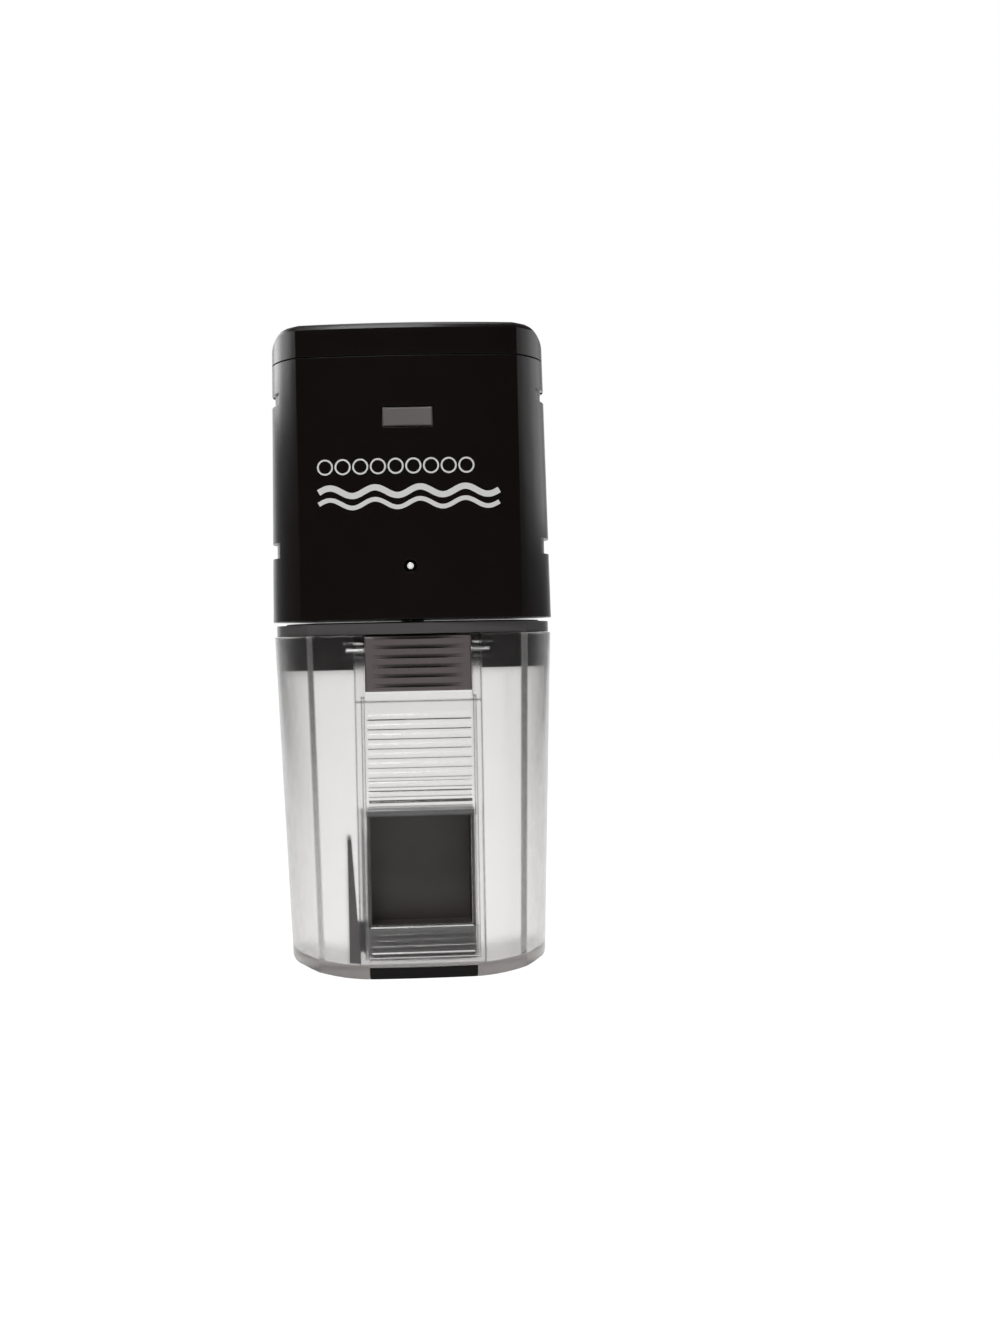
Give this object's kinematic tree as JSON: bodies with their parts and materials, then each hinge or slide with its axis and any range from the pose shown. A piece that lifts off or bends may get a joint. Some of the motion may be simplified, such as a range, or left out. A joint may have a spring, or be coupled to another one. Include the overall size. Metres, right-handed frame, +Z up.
{
  "type": "automatic fish feeder",
  "caption": "Upright automatic fish feeder: black motor housing with feed button over a turning frosted food drum with latch and sliding outlet shutters.",
  "frame": {"origin": "on the drum's axis, at the flat base that it stands on", "axes": "+Z up along the drum's axis, -Y towards the front face, +X to the right seen from the front"},
  "size_m": [0.07, 0.051, 0.16],
  "materials": {
    "housing_black": "satin black ABS, fine moulded grain",
    "rubber_black": "matt elastomer",
    "screw_steel": "zinc plated",
    "button_grey": "satin grey plastic",
    "component_black": "moulded black",
    "board_green": "solder mask over glass laminate",
    "module_tin": "tin plated can",
    "lens_clear": "clear epoxy",
    "nickel": "nickel plated",
    "brass": "machined",
    "gearbox_grey": "moulded, matt",
    "motor_steel": "drawn and plated",
    "shaft_steel": "ground steel",
    "acetal_white": "self-lubricating acetal",
    "bronze": "sintered, oil filled",
    "drum_black": "satin black plastic",
    "collar_grey": "translucent grey plastic",
    "frosted_clear": "frosted translucent plastic",
    "scoop_grey": "dark grey plastic",
    "latch_grey": "dark grey plastic",
    "slide_clear": "clear ribbed plastic"
  },
  "bodies": {
    "housing": {"housing_shell": "housing_black", "top_lid": "housing_black", "lid_gasket": "rubber_black", "lid_screws": "screw_steel", "button_switch": "component_black", "control_board": "board_green", "board_screws": "screw_steel", "wireless_module": "module_tin", "status_led": "lens_clear", "position_sensor": "board_green", "dc_inlet": "component_black", "inlet_nut": "nickel", "bracket_inserts": "brass", "gearbox_base": "gearbox_grey", "gearbox_cover": "gearbox_grey", "gearbox_screws": "screw_steel", "motor_can": "motor_steel", "motor_end_cap": "component_black", "compound_axle": "shaft_steel", "shaft_bush": "bronze", "shaft_seal": "rubber_black"},
    "drum": {"output_gear": "acetal_white", "output_shaft": "shaft_steel", "drum_coupling": "drum_black", "home_magnet": "nickel", "coupling_screw": "screw_steel", "drum_collar": "collar_grey", "hopper_shell": "frosted_clear", "base_foot": "drum_black", "dosing_scoop": "scoop_grey", "latch_pin": "shaft_steel"},
    "pinion": {"motor_shaft": "shaft_steel", "motor_pinion": "brass"},
    "compound": {"compound_gear": "acetal_white"},
    "button": {"feed_button": "button_grey"},
    "latch": {"drum_latch": "latch_grey"},
    "portion_shutter": {"portion_slide": "slide_clear"},
    "outlet_shutter": {"outlet_slide": "slide_clear"}
  },
  "joints": [
    {"name": "drum_turn", "type": "hinge", "parent": "housing", "child": "drum", "pos_m": [0, 0, 0.09], "axis": [0, 0, 1], "continuous": true},
    {"name": "compound_turn", "type": "hinge", "parent": "housing", "child": "compound", "pos_m": [0.0144, 0, 0.097], "axis": [0, 0, 1], "continuous": true},
    {"name": "motor_turn", "type": "hinge", "parent": "housing", "child": "pinion", "pos_m": [0, 0, 0.1], "axis": [0, 0, 1], "continuous": true},
    {"name": "button_press", "type": "slide", "parent": "housing", "child": "button", "axis": [0, 1, 0], "range_m": [0, 0.0006], "stiffness_N_per_m": 400, "springref_m": -0.0005},
    {"name": "latch_release", "type": "hinge", "parent": "drum", "child": "latch", "pos_m": [0.00129, -0.02241, 0.08034], "axis": [-0.9983, -0.0576, 0], "range_deg": [0, 20], "stiffness_Nm_per_rad": 0.02, "springref_deg": -11.46},
    {"name": "portion_adjust", "type": "slide", "parent": "drum", "child": "portion_shutter", "axis": [-0.0023, 0.0404, -0.9992], "range_m": [0, 0.0195]},
    {"name": "outlet_adjust", "type": "slide", "parent": "drum", "child": "outlet_shutter", "axis": [0.0023, -0.0404, 0.9992], "range_m": [0, 0.007]}
  ],
  "couplings": [
    {"joint": "compound_turn", "follows": "drum_turn", "ratio": -3},
    {"joint": "motor_turn", "follows": "drum_turn", "ratio": 9}
  ]
}
